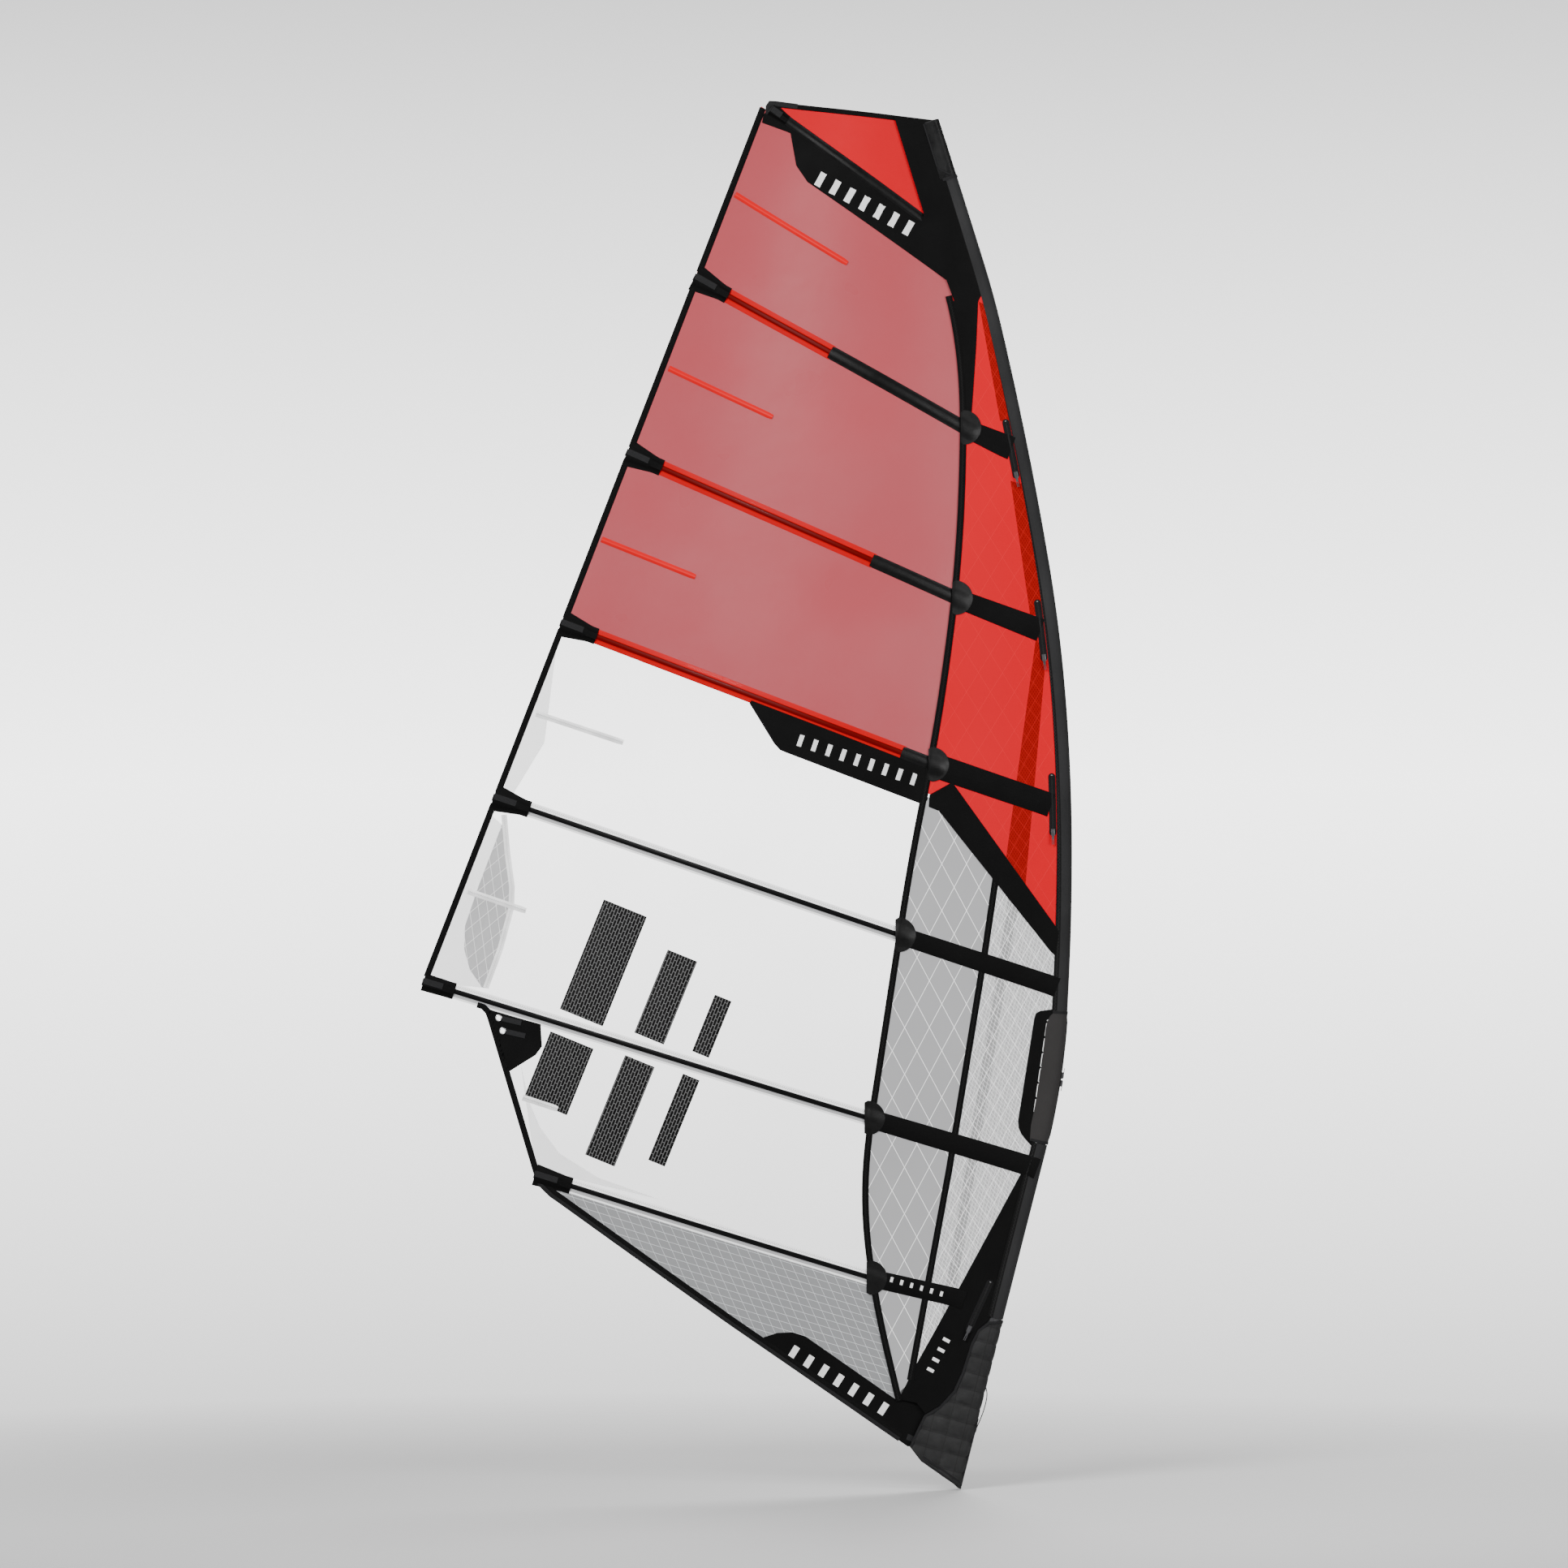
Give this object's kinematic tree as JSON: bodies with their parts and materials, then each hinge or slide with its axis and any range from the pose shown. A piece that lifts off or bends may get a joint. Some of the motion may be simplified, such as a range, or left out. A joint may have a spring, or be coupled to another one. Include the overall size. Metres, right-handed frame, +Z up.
{
  "type": "windsurf sail",
  "caption": "Cambered windsurf race sail rigged on its bent mast: red and clear film body, full battens with cams, wide luff sleeve, zips, clew eyelets and quilted tack fairing.",
  "frame": {"origin": "centre of the mast's bottom mouth, where the mast extension slides in", "axes": "+Z up the sail, +X towards the luff, +Y across the sail to starboard"},
  "size_m": [1.9649, 0.1499, 4.1799],
  "materials": {
    "carbon": "satin woven carbon laminate",
    "batten_rod": "pultruded carbon rod",
    "moulded_black": "moulded glass-filled nylon",
    "red_film": "translucent coloured monofilm",
    "clear_film": "clear monofilm with a fine scrim",
    "grey_scrim": "grey scrim-reinforced film",
    "black_cloth": "black laminated sailcloth",
    "luff_cloth": "dark grey woven luff cloth",
    "sleeve_cloth": "luff sleeve laminate, red above and grey below",
    "pocket_cloth": "batten pocket cloth, red above and white below",
    "webbing": "polyester webbing",
    "neoprene": "quilted neoprene laminate",
    "zip_tape": "coil zip tape",
    "zip_metal": "black coated zinc",
    "steel": "stainless steel",
    "sheave_plastic": "acetal",
    "cover_cloth": "grey-brown stretch cloth",
    "bungee_cord": "braided elastic cord"
  },
  "bodies": {
    "rig": {"mast_bottom": "carbon", "mast_top": "carbon", "mast_ferrule": "carbon", "mast_tip_plug": "moulded_black", "batten_pockets": "pocket_cloth", "mini_battens": "batten_rod", "cam_bodies": "moulded_black", "head_panel": "black_cloth", "red_film_panels": "red_film", "window_panels": "clear_film", "foot_panel": "grey_scrim", "leech_tape": "black_cloth", "foot_tape": "black_cloth", "clew_patch": "black_cloth", "clew_eyelets": "steel", "clew_straps": "webbing", "sleeve_port": "sleeve_cloth", "sleeve_starboard": "sleeve_cloth", "nose_panel_lower": "luff_cloth", "boom_zip_cover": "cover_cloth", "nose_panel_upper": "luff_cloth", "head_cap": "black_cloth", "zip_tracks": "zip_tape", "tack_pulley_frame": "steel", "tack_pulley_pin": "steel", "tack_strap": "webbing", "batten_1": "batten_rod", "batten_2": "batten_rod", "batten_3": "batten_rod", "batten_4": "batten_rod", "batten_5": "batten_rod", "batten_6": "batten_rod", "batten_7": "batten_rod"},
    "tensioner_1": {"batten_tensioner_1": "moulded_black"},
    "tensioner_2": {"batten_tensioner_2": "moulded_black"},
    "tensioner_3": {"batten_tensioner_3": "moulded_black"},
    "tensioner_4": {"batten_tensioner_4": "moulded_black"},
    "tensioner_5": {"batten_tensioner_5": "moulded_black"},
    "tensioner_6": {"batten_tensioner_6": "moulded_black"},
    "tensioner_7": {"batten_tensioner_7": "moulded_black"},
    "rollers_2": {"cam_rollers_2": "sheave_plastic"},
    "rollers_3": {"cam_rollers_3": "sheave_plastic"},
    "rollers_4": {"cam_rollers_4": "sheave_plastic"},
    "rollers_6": {"cam_rollers_6": "sheave_plastic"},
    "rollers_7": {"cam_rollers_7": "sheave_plastic"},
    "sheave_1": {"tack_sheave_1": "sheave_plastic"},
    "sheave_2": {"tack_sheave_2": "sheave_plastic"},
    "sheave_3": {"tack_sheave_3": "sheave_plastic"},
    "cam_zip_2_slider": {"cam_zip_slider_2": "zip_metal"},
    "cam_zip_3_slider": {"cam_zip_slider_3": "zip_metal"},
    "cam_zip_4_slider": {"cam_zip_slider_4": "zip_metal"},
    "tack_zip_slider": {"tack_zip_slider": "zip_metal"},
    "boom_zip_upper": {"boom_zip_slider_upper": "zip_metal"},
    "boom_zip_lower": {"boom_zip_slider_lower": "zip_metal"},
    "fairing_port": {"tack_fairing_port": "neoprene", "fairing_bungee": "bungee_cord", "bungee_hook": "moulded_black"},
    "fairing_starboard": {"tack_fairing_starboard": "neoprene"}
  },
  "joints": [
    {"name": "tensioner_1_slide", "type": "slide", "parent": "rig", "child": "tensioner_1", "axis": [0.808, 0.0492, -0.5871], "range_m": [0, 0.02]},
    {"name": "tensioner_2_slide", "type": "slide", "parent": "rig", "child": "tensioner_2", "axis": [0.8721, 0.0427, -0.4874], "range_m": [0, 0.02]},
    {"name": "tensioner_3_slide", "type": "slide", "parent": "rig", "child": "tensioner_3", "axis": [0.9141, 0.0186, -0.4051], "range_m": [0, 0.02]},
    {"name": "tensioner_4_slide", "type": "slide", "parent": "rig", "child": "tensioner_4", "axis": [0.9342, 0.0069, -0.3567], "range_m": [0, 0.02]},
    {"name": "tensioner_5_slide", "type": "slide", "parent": "rig", "child": "tensioner_5", "axis": [0.9472, 0.0006, -0.3206], "range_m": [0, 0.02]},
    {"name": "tensioner_6_slide", "type": "slide", "parent": "rig", "child": "tensioner_6", "axis": [0.9568, -0.0025, -0.2907], "range_m": [0, 0.02]},
    {"name": "tensioner_7_slide", "type": "slide", "parent": "rig", "child": "tensioner_7", "axis": [0.9502, -0.1078, -0.2923], "range_m": [0, 0.02]},
    {"name": "rollers_2_spin", "type": "hinge", "parent": "rig", "child": "rollers_2", "pos_m": [0.14859, 0, 2.89933], "axis": [-0.1884, 0, 0.9821], "continuous": true},
    {"name": "rollers_3_spin", "type": "hinge", "parent": "rig", "child": "rollers_3", "pos_m": [0.23203, 0, 2.35724], "axis": [-0.1108, 0, 0.9938], "continuous": true},
    {"name": "rollers_4_spin", "type": "hinge", "parent": "rig", "child": "rollers_4", "pos_m": [0.26041, 0, 1.83591], "axis": [-0.0146, 0, 0.9999], "continuous": true},
    {"name": "rollers_6_spin", "type": "hinge", "parent": "rig", "child": "rollers_6", "pos_m": [0.1638, 0, 0.78107], "axis": [0.247, 0, 0.969], "continuous": true},
    {"name": "rollers_7_spin", "type": "hinge", "parent": "rig", "child": "rollers_7", "pos_m": [0.04946, 0, 0.33251], "axis": [0.247, 0, 0.969], "continuous": true},
    {"name": "sheave_1_spin", "type": "hinge", "parent": "rig", "child": "sheave_1", "pos_m": [-0.08936, 0, -0.07526], "axis": [0, 1, 0], "continuous": true},
    {"name": "sheave_2_spin", "type": "hinge", "parent": "rig", "child": "sheave_2", "pos_m": [-0.08936, 0, -0.07526], "axis": [0, 1, 0], "continuous": true},
    {"name": "sheave_3_spin", "type": "hinge", "parent": "rig", "child": "sheave_3", "pos_m": [-0.08936, 0, -0.07526], "axis": [0, 1, 0], "continuous": true},
    {"name": "cam_zip_2_slide", "type": "slide", "parent": "rig", "child": "cam_zip_2_slider", "axis": [-0.1915, 0.007, 0.9815], "range_m": [0, 0.158]},
    {"name": "cam_zip_3_slide", "type": "slide", "parent": "rig", "child": "cam_zip_3_slider", "axis": [-0.1174, 0.0059, 0.9931], "range_m": [0, 0.163]},
    {"name": "cam_zip_4_slide", "type": "slide", "parent": "rig", "child": "cam_zip_4_slider", "axis": [-0.0196, 0.0055, 0.9998], "range_m": [0, 0.165]},
    {"name": "tack_zip_slide", "type": "slide", "parent": "rig", "child": "tack_zip_slider", "axis": [0.412, -0.0136, 0.9111], "range_m": [0, 0.148]},
    {"name": "boom_zip_upper_slide", "type": "slide", "parent": "rig", "child": "boom_zip_upper", "axis": [0.112, 0, 0.9937], "range_m": [0, 0.148]},
    {"name": "boom_zip_lower_slide", "type": "slide", "parent": "rig", "child": "boom_zip_lower", "axis": [-0.1869, 0, -0.9824], "range_m": [0, 0.148]},
    {"name": "fairing_port_open", "type": "hinge", "parent": "rig", "child": "fairing_port", "pos_m": [-0.171, -0.00923, -0.0725], "axis": [-0.4238, 0.0281, -0.9053], "range_deg": [0, 100]},
    {"name": "fairing_starboard_open", "type": "hinge", "parent": "rig", "child": "fairing_starboard", "pos_m": [-0.171, 0.00923, -0.0725], "axis": [0.4238, 0.0281, 0.9053], "range_deg": [0, 100]}
  ]
}
